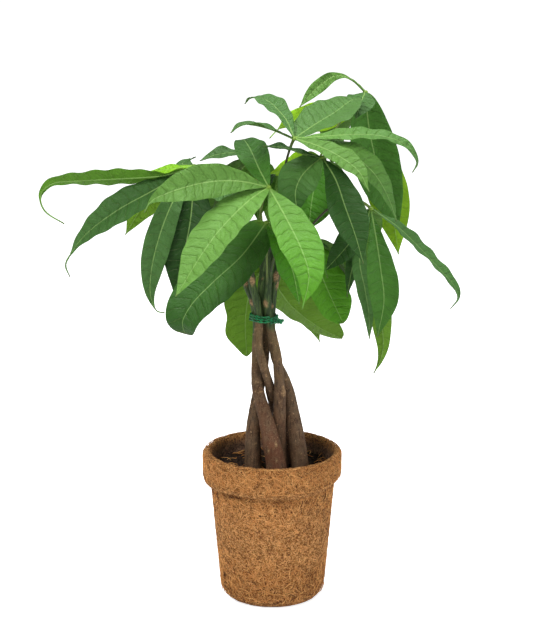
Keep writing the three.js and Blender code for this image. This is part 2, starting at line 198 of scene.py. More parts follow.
def noiseAt(tree, where, scale, detail=3.0, rough=0.55, warp=0.0, stretch=None):
    if stretch:
        where = addNode(tree, "ShaderNodeMapping", {"Vector": where, "Scale": stretch}).outputs[0]
    made = addNode(tree, "ShaderNodeTexNoise", {"Vector": where, "Scale": scale, "Detail": detail,
                                                "Roughness": rough, "Distortion": warp})
    return made.outputs[0]


def newGroup(name, inputs, outputs):
    group = bpy.data.node_groups.new(name, "ShaderNodeTree")
    for label, kind, value in inputs:
        socket = group.interface.new_socket(name=label, in_out="INPUT", socket_type="NodeSocket" + kind)
        if value is not None:
            socket.default_value = value
    for label in outputs:
        group.interface.new_socket(name=label, in_out="OUTPUT", socket_type="NodeSocketFloat")
    return group, group.nodes.new("NodeGroupInput").outputs, group.nodes.new("NodeGroupOutput").inputs


def newMaterial(name):
    material = bpy.data.materials.new(name)
    material.use_nodes = True
    tree = material.node_tree
    shader = tree.nodes["Principled BSDF"]
    where = addNode(tree, "ShaderNodeTexCoord").outputs["Object"]
    return material, tree, shader, where


def attribute(tree, name):
    return addNode(tree, "ShaderNodeAttribute", attribute_name=name, attribute_type="GEOMETRY").outputs


def useGroup(tree, group, **inputs):
    return addNode(tree, "ShaderNodeGroup", inputs, node_tree=group).outputs


def finishPaint(tree, shader, base, rough, specular, height=None, strength=0.0, distance=0.0):
    tree.links.new(base, shader.inputs["Base Color"])
    tree.links.new(rough, shader.inputs["Roughness"])
    shader.inputs["Specular IOR Level"].default_value = specular
    if height is not None:
        values = {"Height": height, "Strength": strength, "Distance": distance}
        tree.links.new(addNode(tree, "ShaderNodeBump", values).outputs[0], shader.inputs["Normal"])


# shared effect: soft patches and fine specks, both 0 to 1
mottle, given, told = newGroup("softMottle", [("Vector", "Vector", None), ("Patch", "Float", 60.0),
                                              ("Speck", "Float", 900.0)], ["Patches", "Specks"])
patches = noiseAt(mottle, given["Vector"], given["Patch"], 3.0, 0.6)
specks = noiseAt(mottle, given["Vector"], given["Speck"], 2.0, 0.6)
mottle.links.new(rise(mottle, patches, 0.3, 0.7), told["Patches"])
mottle.links.new(rise(mottle, specks, 0.3, 0.7), told["Specks"])

# shared effect: hair-thin curling lines, 0 to 1, as tangled fibres
tangle, given, told = newGroup("fibreTangle", [("Vector", "Vector", None), ("Scale", "Float", 160.0),
                                               ("Width", "Float", 0.03)], ["Lines"])
curl = noiseAt(tangle, given["Vector"], given["Scale"], 1.0, 0.4, 0.6)
off = calc(tangle, "ABSOLUTE", calc(tangle, "SUBTRACT", curl, 0.5))
line = rise(tangle, calc(tangle, "DIVIDE", off, given["Width"]), 0.0, 1.0, 1.0, 0.0)
tangle.links.new(line, told["Lines"])

# shared effect: midrib, side veins and the net between them, from a blade's own measures
veins, given, told = newGroup(
    "leafVeins", [("Place", "Vector", None), ("Along", "Float", 0.0), ("Rim", "Float", 0.0)],
    ["Midrib", "Side veins", "Creases", "Streaks", "Net", "Relief"])
parts = addNode(veins, "ShaderNodeSeparateXYZ", {0: given["Place"]}).outputs
fromRib = calc(veins, "ABSOLUTE", parts[0])
ribWidth = calc(veins, "MULTIPLY_ADD", given["Along"], -0.6, 1.0)
midrib = rise(veins, calc(veins, "DIVIDE", fromRib, ribWidth), 0.45, 1.0, 1.0, 0.0)
jitter = noiseAt(veins, given["Place"], 0.11, 2.0, 0.55)
turned = calc(veins, "MULTIPLY_ADD", jitter, 0.7, parts[2])
swing = calc(veins, "ABSOLUTE", calc(veins, "SINE", times(veins, turned, pi)))
inRim = rise(veins, given["Rim"], 0.7, 0.98, 1.0, 0.0)
sideVein = times(veins, rise(veins, swing, 0.0, 0.16, 1.0, 0.0), inRim)
# crease lines, used as painted shade on the leaf face
creases = times(veins, rise(veins, swing, 0.04, 0.5, 1.0, 0.0), inRim)
finer = calc(veins, "ABSOLUTE", calc(veins, "SINE", times(veins, turned, 3 * pi)))
thinVein = times(veins, rise(veins, finer, 0.0, 0.22, 0.3, 0.0), inRim)
cells = addNode(veins, "ShaderNodeTexVoronoi", {"Vector": given["Place"], "Scale": 0.5},
                feature="DISTANCE_TO_EDGE")
net = rise(veins, cells.outputs["Distance"], 0.0, 0.16, 1.0, 0.0)
alongVein = addNode(veins, "ShaderNodeCombineXYZ", {0: times(veins, parts[0], 0.06), 2: turned})
# fine wrinkles, for relief and as painted shade on the leaf face
streaks = rise(veins, noiseAt(veins, alongVein.outputs[0], 3.4, 3.0, 0.6, 0.2), 0.35, 0.65)
puff = calc(veins, "POWER", swing, 0.6)
relief = calc(veins, "MULTIPLY_ADD", streaks, 0.5, calc(veins, "MULTIPLY_ADD", net, -0.12, puff))
relief = calc(veins, "MULTIPLY_ADD", sideVein, -0.3, relief)
for label, value in (("Midrib", midrib), ("Side veins", calc(veins, "MAXIMUM", sideVein, thinVein)),
                     ("Creases", creases), ("Streaks", streaks), ("Net", net), ("Relief", relief)):
    veins.links.new(value, told[label])


# camera, light and floor

photoView = {"place": (-0.006, -1.8, 0.734), "down": 14.07, "lens": 106.15}

camera = bpy.data.objects.new("photoCamera", bpy.data.cameras.new("photoCamera"))
camera.location = photoView["place"]
camera.rotation_euler = (radians(90 - photoView["down"]), 0, 0)
camera.data.lens = photoView["lens"]
camera.data.sensor_width = 36
camera.data.clip_end = 50
world.objects.link(camera)
bpy.context.scene.camera = camera

lights = {
    "keySoft": {"place": (-1.1, -1.3, 2.1), "aim": (0, 0, 0.35), "size": 0.9, "power": 40,
                "tint": (1, 0.99, 0.96)},
    "overhead": {"place": (0.15, 0.25, 2.3), "aim": (0, 0, 0.3), "size": 1.0, "power": 34,
                 "tint": (1, 1, 1)},
    "fillRight": {"place": (1.7, -1.2, 1.0), "aim": (0, 0, 0.3), "size": 1.2, "power": 15,
                  "tint": (0.98, 0.99, 1)},
}
for name, lamp in lights.items():
    data = bpy.data.lights.new(name, "AREA")
    data.shape, data.size, data.energy, data.color = "DISK", lamp["size"], lamp["power"], lamp["tint"]
    made = bpy.data.objects.new(name, data)
    made.location = lamp["place"]
    made.rotation_euler = (Vector(lamp["aim"]) - Vector(lamp["place"])).to_track_quat("-Z", "Y").to_euler()
    world.objects.link(made)

backdrop = {"seen": 1.0, "light": 0.34, "floorGlow": 0.75}
sky = bpy.data.worlds.new("studio")
sky.use_nodes = True
bpy.context.scene.world = sky
tree = sky.node_tree
seen = addNode(tree, "ShaderNodeLightPath").outputs["Is Camera Ray"]
strength = calc(tree, "MULTIPLY_ADD", seen, backdrop["seen"] - backdrop["light"], backdrop["light"])
tree.nodes["Background"].inputs["Color"].default_value = (1, 1, 1, 1)
tree.links.new(strength, tree.nodes["Background"].inputs["Strength"])

settings = bpy.context.scene.view_settings
settings.view_transform, settings.look, settings.exposure, settings.gamma = "Standard", "None", 0.0, 1.0

floorPaint, tree, shader, where = newMaterial("paleFloor")
shader.inputs["Base Color"].default_value = (0.92, 0.92, 0.92, 1)
shader.inputs["Roughness"].default_value = 0.95
shader.inputs["Specular IOR Level"].default_value = 0.0
shader.inputs["Emission Color"].default_value = (1, 1, 1, 1)
seen = addNode(tree, "ShaderNodeLightPath").outputs["Is Camera Ray"]
tree.links.new(times(tree, seen, backdrop["floorGlow"]), shader.inputs["Emission Strength"])
bm = bmesh.new()
bmesh.ops.create_grid(bm, x_segments=8, y_segments=8, size=12.0)
mesh = bpy.data.meshes.new("studioFloor")
bm.to_mesh(mesh)
bm.free()
mesh.materials.append(floorPaint)
floor = bpy.data.objects.new("studioFloor", mesh)
world.objects.link(floor)
print("camera, light and floor are set")


# materials

def leafMaterial(name, under):
    material, tree, shader, where = newMaterial(name)
    tint = attribute(tree, "bladeTint")
    place = attribute(tree, "bladePlace")["Vector"]
    rim = attribute(tree, "bladeRim")["Fac"]
    vein = useGroup(tree, veins, Place=place, Along=tint["Alpha"], Rim=rim)
    soft = useGroup(tree, mottle, Vector=where, Patch=55.0, Speck=700.0)
    # the leaflet's tint, which for some leaflets holds painted shade, painted sheen or painted light
    # shining through
    base = tint["Color"]
    base = stain(tree, base, soft["Patches"], 0.4, (0.66, 0.74, 0.5), "MULTIPLY")
    base = stain(tree, base, soft["Specks"], 0.14, (0.55, 0.65, 0.45), "MULTIPLY")
    base = stain(tree, base, vein["Net"], 0.1, (0.5, 0.6, 0.4), "MULTIPLY")
    if under:
        base = mixTint(tree, 0.3, base, (0.16, 0.26, 0.06))
        paleVein = mixTint(tree, 0.4, base, (0.34, 0.5, 0.14))
        base = stain(tree, base, vein["Side veins"], 0.5, paleVein)
    else:
        # painted shade: the face darkens along its creases and fine wrinkles
        base = stain(tree, base, vein["Creases"], 0.28, (0.55, 0.62, 0.4), "MULTIPLY")
        base = stain(tree, base, vein["Streaks"], 0.3, (0.6, 0.68, 0.5), "MULTIPLY")
        paleVein = mixTint(tree, 0.3, base, (0.3, 0.46, 0.1))
        base = stain(tree, base, vein["Side veins"], 0.35, paleVein)
    rib = mixTint(tree, 0.5, base, (0.34, 0.54, 0.17))
    base = stain(tree, base, vein["Midrib"], 0.85, rib)
    base = mixTint(tree, rise(tree, tint["Alpha"], 0.0, 0.06, 0.5, 0.0), base, (0.18, 0.32, 0.03))
    base = mixTint(tree, rise(tree, tint["Alpha"], 0.965, 1.0, 0.0, 0.5), base, (0.09, 0.1, 0.03))
    rough = calc(tree, "MULTIPLY_ADD", soft["Specks"], 0.1, 0.62 if under else 0.46)
    height = times(tree, vein["Relief"], -1.0) if under else vein["Relief"]
    finishPaint(tree, shader, base, rough, 0.12 if under else 0.24, height, 0.85, 0.0009)
    return material


leafFace = leafMaterial("leafFace", False)
leafUnder = leafMaterial("leafUnder", True)

leafStalk, tree, shader, where = newMaterial("leafStalk")
tint = attribute(tree, "bladeTint")
soft = useGroup(tree, mottle, Vector=where, Patch=220.0, Speck=1500.0)
base = mixTint(tree, times(tree, soft["Patches"], 0.5), tint["Color"], (0.6, 0.6, 0.55), "MULTIPLY")
base = stain(tree, base, soft["Specks"], 0.25, (1.0, 0.9, 0.4), "SOFT_LIGHT")
rough = calc(tree, "MULTIPLY_ADD", soft["Specks"], 0.15, 0.4)
finishPaint(tree, shader, base, rough, 0.35, soft["Specks"], 0.25, 0.0003)

barkColours = {
    "bark": (0.175, 0.102, 0.054), "dark": (0.05, 0.03, 0.017), "red": (0.18, 0.068, 0.034),
    "grey": (0.18, 0.13, 0.08), "shoot": (0.022, 0.045, 0.012), "stripe": (0.085, 0.14, 0.04),
    "scar": (0.4, 0.25, 0.12), "pale": (0.42, 0.25, 0.13), "upper": (0.26, 0.2, 0.08),
}
bark, tree, shader, where = newMaterial("stemBark")
mark = addNode(tree, "ShaderNodeSeparateColor", {0: attribute(tree, "barkMark")["Color"]}).outputs
lengthwise = noiseAt(tree, where, 460.0, 4.0, 0.68, 0.3, (1.0, 1.0, 0.12))
crossLines = noiseAt(tree, where, 300.0, 3.0, 0.6, 0.2, (0.2, 0.2, 1.6))
crumbs = noiseAt(tree, where, 520.0, 3.0, 0.7, 0.6)
soft = useGroup(tree, mottle, Vector=where, Patch=85.0, Speck=900.0)
wood = mixTint(tree, rise(tree, lengthwise, 0.36, 0.58), barkColours["dark"], barkColours["bark"])
wood = stain(tree, wood, soft["Patches"], 0.5, barkColours["grey"])
wood = mixTint(tree, rise(tree, crossLines, 0.6, 0.72, 0.0, 0.5), wood, barkColours["dark"])
wood = stain(tree, wood, mark["Blue"], 0.75, barkColours["red"])
wood = mixTint(tree, times(tree, attribute(tree, "barkMark")["Alpha"], 0.45), wood, barkColours["upper"])
wood = stain(tree, wood, soft["Specks"], 0.45, (0.4, 0.34, 0.3), "MULTIPLY")
wood = mixTint(tree, rise(tree, crumbs, 0.59, 0.67, 0.0, 0.65), wood, barkColours["pale"])
stripes = rise(tree, lengthwise, 0.46, 0.62, 0.0, 0.85)
shoot = mixTint(tree, stripes, barkColours["shoot"], barkColours["stripe"])
base = mixTint(tree, mark["Red"], wood, shoot)
scar = mixTint(tree, rise(tree, crumbs, 0.4, 0.56), barkColours["bark"], barkColours["scar"])
base = mixTint(tree, mark["Green"], base, scar)
rough = calc(tree, "MULTIPLY_ADD", mark["Red"], -0.22, 0.75)
height = calc(tree, "MULTIPLY_ADD", crumbs, 0.6, lengthwise)
height = calc(tree, "MULTIPLY_ADD", crossLines, 0.5, height)
finishPaint(tree, shader, base, rough, 0.25, height, 0.7, 0.001)

coirColours = {
    "coir": (0.46, 0.195, 0.06), "light": (0.86, 0.44, 0.16), "deep": (0.09, 0.03, 0.009),
    "fleck": (0.045, 0.016, 0.008), "husk": (0.19, 0.05, 0.02),
    "dampAndShade": (0.075, 0.044, 0.03), "dampAndShadeLight": (0.31, 0.18, 0.115),
}


def tangled(tree, where, shift, scale, width):
    shifted = addNode(tree, "ShaderNodeMapping", {"Vector": where, "Location": shift}).outputs[0]
    return useGroup(tree, tangle, Vector=shifted, Scale=scale, Width=width)[0]


coir, tree, shader, where = newMaterial("pressedCoir")
inside = attribute(tree, "coirInside")["Fac"]
body = attribute(tree, "coirBody")["Fac"]
lines = [tangled(tree, where, (scale, 0.3, 0.7), scale, width)
         for scale, width in ((190.0, 0.035), (280.0, 0.045), (400.0, 0.055), (560.0, 0.07))]
soft = useGroup(tree, mottle, Vector=where, Patch=26.0, Speck=560.0)
base = mixTint(tree, soft["Specks"], coirColours["deep"], coirColours["coir"])
base = stain(tree, base, soft["Patches"], 0.25, (0.72, 0.58, 0.5), "MULTIPLY")
pale = calc(tree, "MAXIMUM", lines[0], calc(tree, "MAXIMUM", lines[1], lines[2]))
base = stain(tree, base, pale, 0.75, coirColours["light"])
darkLine = tangled(tree, where, (5.0, 9.0, 2.0), 210.0, 0.05)
base = stain(tree, base, darkLine, 0.85, coirColours["deep"])
flecks = rise(tree, noiseAt(tree, where, 270.0, 4.0, 0.72, 0.8), 0.57, 0.62)
fleckShare = times(tree, flecks, calc(tree, "MULTIPLY_ADD", body, 0.6, 0.35))
husk = mixTint(tree, soft["Patches"], coirColours["fleck"], coirColours["husk"])
base = mixTint(tree, fleckShare, base, husk)
base = stain(tree, base, lines[3], 0.35, coirColours["light"])
# inside the wall the coir is damp and darker, with painted shade deepening down from the rim
dampAndShade = mixTint(tree, soft["Specks"], coirColours["dampAndShade"], coirColours["dampAndShadeLight"])
base = mixTint(tree, inside, base, dampAndShade)
rough = calc(tree, "MULTIPLY_ADD", soft["Specks"], 0.1, 0.85)
height = calc(tree, "MULTIPLY_ADD", pale, 0.6, calc(tree, "MULTIPLY_ADD", flecks, -0.9, soft["Specks"]))
height = calc(tree, "MULTIPLY_ADD", lines[3], 0.35, height)
finishPaint(tree, shader, base, rough, 0.15, height, 0.8, 0.0009)

fibreColours = {"pale": (0.8, 0.43, 0.15), "warm": (0.56, 0.23, 0.066), "dark": (0.06, 0.02, 0.009)}
fibrePaint, tree, shader, where = newMaterial("looseFibre")
shade = attribute(tree, "strandShade")["Fac"]
grain = noiseAt(tree, where, 900.0, 1.0, 0.5)
base = mixTint(tree, rise(tree, shade, 0.3, 1.0), fibreColours["warm"], fibreColours["pale"])
base = mixTint(tree, rise(tree, shade, 0.0, 0.3, 1.0, 0.0), base, fibreColours["dark"])
base = mixTint(tree, rise(tree, grain, 0.55, 0.75, 0.0, 0.5), base, fibreColours["dark"])
finishPaint(tree, shader, base, rise(tree, grain, 0.2, 0.8, 0.6, 0.8), 0.2)

soilPaint, tree, shader, where = newMaterial("darkPeat")
soft = useGroup(tree, mottle, Vector=where, Patch=150.0, Speck=900.0)
base = mixTint(tree, soft["Patches"], (0.018, 0.012, 0.009), (0.055, 0.034, 0.024))
base = stain(tree, base, soft["Specks"], 0.4, (0.085, 0.05, 0.034))
rough = calc(tree, "MULTIPLY_ADD", soft["Specks"], 0.1, 0.85)
height = calc(tree, "ADD", soft["Patches"], soft["Specks"])
finishPaint(tree, shader, base, rough, 0.15, height, 0.9, 0.0015)

tiePaint, tree, shader, where = newMaterial("tieCoating")
soft = useGroup(tree, mottle, Vector=where, Patch=300.0, Speck=1500.0)
base = mixTint(tree, soft["Patches"], (0.002, 0.06, 0.018), (0.012, 0.3, 0.1))
rough = calc(tree, "MULTIPLY_ADD", soft["Specks"], 0.15, 0.22)
finishPaint(tree, shader, base, rough, 0.5, soft["Specks"], 0.3, 0.0002)
print("materials are ready")


# pot

potShape = {
    "height": 152, "foot": 50.5, "body": 61.5, "collar": 68, "collarHeight": 30, "mouth": 61,
    "wall": 5, "floor": 6, "turns": 300, "rings": 210, "rough": 0.34,
}
foldAt = potShape["height"] - potShape["collarHeight"]


def potOutline(pot):
    h, low = pot["height"], foldAt
    foot, body, collar, mouth = pot["foot"], pot["body"], pot["collar"], pot["mouth"]
    return [
        (0, 0), (foot - 8, 0), (foot - 3.6, 1.8), (foot - 1, 5.6), (foot + 0.2, 11), (body - 4, 66),
        (body + 0.2, low + 5), (body + 1.2, low + 0.6), (collar - 2, low - 1.6), (collar + 0.2, low + 1.5),
        (collar + 0.8, h - 14), (collar - 0.5, h - 3), (collar - 2.5, h - 0.6), (collar - 4.5, h),
        (mouth + 0.4, h - 1.6), (mouth - 0.2, h - 6), (mouth - 1, h - 18),
        (foot - pot["wall"] + 1, pot["floor"] + 5), (foot - pot["wall"] - 4, pot["floor"]),
        (0, pot["floor"]),
    ]


def roundCorners(points, times):
    for _ in range(times):
        cut = [points[0]]
        for a, b in zip(points, points[1:]):
            cut += [a.lerp(b, 0.22), a.lerp(b, 0.78)]
        points = cut + [points[-1]]
    return points


def spinOutline(bm, points, turns):
    verts = [bm.verts.new((p.x * mm, 0, p.z * mm)) for p in points]
    edges = [bm.edges.new(pair) for pair in zip(verts, verts[1:])]
    bmesh.ops.spin(bm, geom=verts + edges, cent=(0, 0, 0), axis=(0, 0, 1), dvec=(0, 0, 0),
                   angle=2 * pi, steps=turns, use_merge=True, use_duplicate=False)
    bmesh.ops.remove_doubles(bm, verts=bm.verts, dist=1e-6)


def collarSwell(turn):
    return -0.8 * cos(turn) + 0.7 * sin(2 * turn + 0.4) + 0.5 * sin(5 * turn + 1)


outline = roundCorners([Vector((r, 0, z)) for r, z in potOutline(potShape)], 2)
bm = bmesh.new()
spinOutline(bm, evenLine(outline, potShape["rings"]), potShape["turns"])
insideMark = bm.verts.layers.float.new("coirInside")
bodyMark = bm.verts.layers.float.new("coirBody")
for vert in bm.verts:
    x, y, z = vert.co / mm
    reach, turn = hypot(x, y), atan2(y, x)
    fromTop = potShape["height"] - z
    taper = (potShape["body"] - potShape["foot"]) * z / foldAt
    skin = potShape["mouth"] + 1.2 if z > foldAt else potShape["foot"] - 2 + taper
    wallIn = 1 if reach < skin and z > potShape["floor"] - 1 else 0
    outer = 1 if reach > potShape["body"] + 1.5 and fromTop > 2 else 0
    swell = outer * collarSwell(turn)
    sag = 1.3 * sin(3 * turn + 2) + 0.8 * cos(turn)
    drop = outer * smoothRise(fromTop, 8, potShape["collarHeight"]) * sag
    spot = Vector((x, y, z))
    lumps = noise.noise(spot * 0.33) * 1.3 + noise.noise(spot * 0.8 + Vector((9, 4, 2)))
    lumps += noise.noise(spot * 0.12) * 1.2
    push = swell + lumps * potShape["rough"] * (1 if reach > 5 else 0)
    if reach > 1e-6:
        x, y = x * (reach + push) / reach, y * (reach + push) / reach
    lip = smoothRise(6 - fromTop, 0, 4) * noise.noise(Vector((x * 0.16, y * 0.16, 3))) * 0.6
    vert.co = Vector((x, y, max(z + drop + lip, 0))) * mm
    # inner wall mask, growing down from the rim: damp coir and painted shade
    vert[insideMark] = wallIn * smoothRise(fromTop, 1, 14)
    vert[bodyMark] = smoothRise(fromTop, potShape["collarHeight"] - 1, potShape["collarHeight"] + 8)
makePiece("pressed_coir_pot", bm, [coir], ["coir_pot"])


# loose fibres on the pot and over the soil

fibreShape = {
    "onSoil": 110, "soilThick": 0.29, "seed": 7,
    "loose_pot_fibres": {"count": 4300, "low": 9, "high": foldAt - 1, "thick": 0.29},
    "loose_collar_fibres": {"count": 2600, "low": foldAt + 6, "high": foldAt + 29, "thick": 0.2},
}


def fibreObject(name, strands, paint):
    curve = bpy.data.curves.new(name, "CURVE")
    curve.dimensions, curve.bevel_depth, curve.bevel_resolution = "3D", mm, 0
    curve.use_fill_caps = True
    for points, thick in strands:
        spline = curve.splines.new("POLY")
        spline.points.add(len(points) - 1)
        for i, point in enumerate(points):
            spline.points[i].co = (*(point * mm), 1)
            spline.points[i].radius = thick * (0.45 if i in (0, len(points) - 1) else 1.0)
    rough = bpy.data.objects.new(name + "_lines", curve)
    world.objects.link(rough)
    mesh = bpy.data.meshes.new_from_object(rough.evaluated_get(bpy.context.evaluated_depsgraph_get()))
    bpy.data.objects.remove(rough)
    bm = bmesh.new()
    bm.from_mesh(mesh)
    shade = bm.verts.layers.float.new("strandShade")
    for i, vert in enumerate(bm.verts):
        vert[shade] = (i * len(strands) // len(bm.verts) * 0.618) % 1.0
    makePiece(name, bm, [paint], ())


def outerReach(turn, z):
    # how far the pot's outside stands from its middle at that height
    fromTop = potShape["height"] - z
    if fromTop < potShape["collarHeight"] - 3:
        crown = smoothRise(4 - fromTop, 0, 4)
        return potShape["collar"] + 0.6 - 2.5 * crown + collarSwell(turn)
    return potShape["foot"] + 0.2 + (potShape["body"] - potShape["foot"]) * min(z / foldAt, 1)


def curlyStrands(rng, count, low, high, thick):
    # strands that lie curled on the pot between two heights
    strands = []
    for _ in range(count):
        turn, z = rng.uniform(-pi, pi), rng.uniform(low, high)
        heading, bend = rng.uniform(0, 2 * pi), rng.gauss(0, 0.16)
        step = rng.uniform(1.2, 3.4)
        loft = rng.uniform(0.0, 0.35)
        points = []
        for k in range(6):
            reach = outerReach(turn, z) + loft + 0.25 * sin(k * 1.7 + heading)
            points.append(Vector((reach * cos(turn), reach * sin(turn), z)))
            turn += step * cos(heading) / reach
            z = min(max(z + step * sin(heading), low - 2), high)
            heading += bend + rng.gauss(0, 0.2)
        strands.append((points, thick * rng.uniform(0.6, 1.4)))
    return strands


rng = random.Random(fibreShape["seed"])
for name in ("loose_pot_fibres", "loose_collar_fibres"):
    fibreObject(name, curlyStrands(rng, **fibreShape[name]), fibrePaint)


# stems

stemShape = {"sides": 40, "rows": 170, "relief": 0.3}
stems = {}
stems["stem_back"] = {
    "path": [(-12, -6, 68), (-17, -9, 116), (-19.5, -10, 151), (-19, -8, 178), (-15, 0, 206),
             (-9.5, 8, 231), (-7, 11, 253), (-7, 10, 272), (-8.5, 7.6, 287), (-11, 9, 306),
             (-9, 12, 331), (-7, 14, 348)],
    "radii": [9, 9.8, 9.4, 8.6, 7.2, 6, 5, 4.3, 4.1, 4.1, 4, 3.4],
    "green": 284, "red": 0.1, "rings": (201, 243, 322),
    "scars": [(163, -70, 1.6)],
}
stems["stem_left"] = {
    "path": [(6, -20, 66), (5, -23, 111), (3.5, -22.5, 141), (-1.5, -20, 166), (-6.5, -15.5, 187),
             (-12, -11.5, 205), (-15.5, -7, 220), (-16.5, -2, 236), (-16, 2.5, 256),
             (-15.8, 2.6, 286), (-19.5, 2, 304), (-27, 2, 324), (-25, 1, 336)],
    "radii": [11, 11.8, 11.4, 10.4, 9.2, 7.9, 6.4, 5.1, 4.4, 4.1, 4, 3.6, 3.2],
    "green": 262, "red": 0.8, "rings": (213, 222, 268),
    "scars": [(158, -118, 1.6), (165, -62, 2.2), (149, -80, 1.2), (302, -120, 3), (322, -95, 3.4)],
}
stems["stem_front"] = {
    "path": [(20, 14, 72), (18, 15, 116), (14, 15, 146), (8, 12, 171), (2.4, 6, 193),
             (-1.4, -2.1, 208), (-3.5, -7, 221), (-9.5, -11, 243), (-14, -10, 261),
             (-13.2, -6.4, 286), (-16, -8, 306), (-20, -9, 322), (-20, -10, 334)],
    "radii": [8.6, 8.8, 8.8, 8.8, 8.2, 5.7, 4.9, 4.5, 4.2, 4.1, 4, 3.7, 3.2],
    "green": 285, "red": 0.3, "rings": (237, 260, 276),
    "scars": [(326, -80, 4.2), (262, -70, 1.4), (231, -90, 1.3)],
}
stems["stem_middle"] = {
    "path": [(9, -2, 70), (8, -2, 116), (7, -3, 151), (6.5, -6, 171), (6.5, -10, 191),
             (7, -12, 211), (6, -11, 231), (4, -9, 251), (0.5, -7, 268), (-4, -6.4, 286),
             (-5.5, -6.6, 306), (-4, -7, 331), (-2, -7, 356)],
    "radii": [8.4, 9, 9, 8.4, 7, 6.7, 5.6, 4.8, 4.3, 4.1, 4, 3.8, 3.4],
    "green": 280, "red": 0.35, "rings": (188, 246, 262),
    "scars": [(214, -40, 3.4), (219, -48, 2.4), (303, -110, 3.4), (190, -60, 1.2)],
}
stems["stem_right"] = {
    "path": [(26, -4, 68), (28, -7, 111), (27, -8, 138), (24, -6, 164), (20, -2, 186),
             (16.5, 2, 206), (11, 4, 225), (3, 5, 243), (-0.5, 3.8, 260), (-1.2, 2.6, 286),
             (0, 3.4, 306), (3, 5, 326), (5, 6, 344)],
    "radii": [9.4, 10, 10, 9, 8.2, 7.6, 6.1, 4.8, 4.2, 4.1, 4, 3.8, 3.2],
    "green": 276, "red": 0.15, "rings": (222, 246),
    "scars": [(327, -85, 4.4), (318, -40, 3), (152, -75, 1.4), (298, -90, 2)],
}


def growStem(name, stem):
    bm = bmesh.new()
    markLayer = bm.verts.layers.float_color.new("barkMark")
    line = splineLine(stem["path"], stemShape["rows"])

    def radiusAt(share, turn, spot):
        z = spot.z
        radius = readList(stem["radii"], share)
        grooves = noise.noise(Vector((spot.x * 0.35, spot.y * 0.35, z * 0.05)))
        lumps = noise.noise(Vector((spot.x * 0.09, spot.y * 0.09, z * 0.06)) + Vector((3, 1, 5)))
        ring = sum(exp(-((z - at - 2 * sin(turn)) / 0.9) ** 2) for at in stem["rings"])
        tip = sqrt(max(1 - max((share - 0.982) / 0.018, 0) ** 2, 0.004))
        knots = sum(exp(-((z - at[0]) / 2.2) ** 2) for at in stem["scars"] if at[2] > 2.6)
        return (radius + stemShape["relief"] * (grooves + lumps + 0.8 * ring + 1.6 * knots)) * tip

    def mark(vert, share, turn, spot):
        wander = noise.noise(spot * 0.07) * 14
        green = smoothRise(spot.z + wander, stem["green"] - 7, stem["green"] + 9)
        middle = line[round(share * stemShape["rows"])]
        scar = 0.0
        for z, angle, size in stem["scars"]:
            at = atan2(spot.y - middle.y, spot.x - middle.x) - radians(angle)
            away = abs((at + pi) % (2 * pi) - pi) * readList(stem["radii"], share)
            reach = hypot(away * 1.1, (spot.z - z) * 0.7) + noise.noise(spot * 0.9) * 1.6
            scar = max(scar, 1 - smoothRise(reach, size * 0.4, size))
        broken = smoothRise(noise.noise(Vector((turn * 1.6 + 2, 8, spot.z * 0.02 + 1))), -0.15, 0.2)
        for at in stem["rings"]:
            scar = max(scar, broken * exp(-((spot.z - at - 2 * sin(turn)) / 0.8) ** 2))
        low = 1 - smoothRise(spot.z + wander, 150, 215)
        edge = 0.5 + 0.5 * noise.noise(spot * 0.16 + Vector((5, 5, 5)))
        upper = smoothRise(spot.z + wander, 215, 262) * edge
        vert[markLayer] = (green, scar * 0.9, min(1, stem["red"] * (0.35 + low) * edge * 1.6), upper)

    growTube(bm, line, radiusAt, stemShape["sides"], mark)
    makePiece(name.replace("stem_", "braided_stem_"), bm, [bark], [name])


for name, stem in stems.items():
    growStem(name, stem)


# soil

soilShape = {"level": 133, "radius": 59.4, "grains": 1300, "seed": 21}


def soilHumps(x, y):
    return 1.1 * sin(0.11 * x + 1) * cos(0.13 * y) + 0.5 * sin(0.3 * x + 0.21 * y)


bm = bmesh.new()
level, edge = soilShape["level"], soilShape["radius"]
outline = [(0, 20), (44, 20), (50, 60), (edge - 1.6, 128), (edge, level - 3), (edge - 1.4, level)]
outline += [(r, level) for r in range(57, 0, -1)] + [(0, level)]
spinOutline(bm, [Vector((r, 0, z)) for r, z in outline], 150)
for vert in bm.verts:
    x, y, z = vert.co / mm
    if z > level - 4:
        fine = noise.noise(Vector((x, y, 1)) * 0.22) * 1.6 + noise.noise(Vector((x, y, 5)) * 0.6) * 0.7
        vert.co.z = (z + soilHumps(x, y) + fine) * mm
rng = random.Random(soilShape["seed"])
for _ in range(soilShape["grains"]):
    angle, reach = rng.uniform(0, 2 * pi), 58 * sqrt(rng.random())
    x, y = reach * cos(angle), reach * sin(angle)
    size = rng.uniform(0.5, 1.6) * (2.0 if rng.random() < 0.06 else 1.0)
    place = Matrix.Translation(Vector((x, y, level + soilHumps(x, y) + rng.uniform(0.1, 0.9))) * mm)
    turned = Matrix.Rotation(rng.uniform(0, 6.28), 4, "Z") @ Matrix.Rotation(rng.uniform(0, 6.28), 4, "X")
    shaped = Matrix.Diagonal((rng.uniform(0.7, 1.5), rng.uniform(0.7, 1.2), rng.uniform(0.5, 0.9), 1))
    bmesh.ops.create_icosphere(bm, subdivisions=1, radius=size * mm, matrix=place @ turned @ shaped)
makePiece("crumbly_soil", bm, [soilPaint], ["potting_soil"])

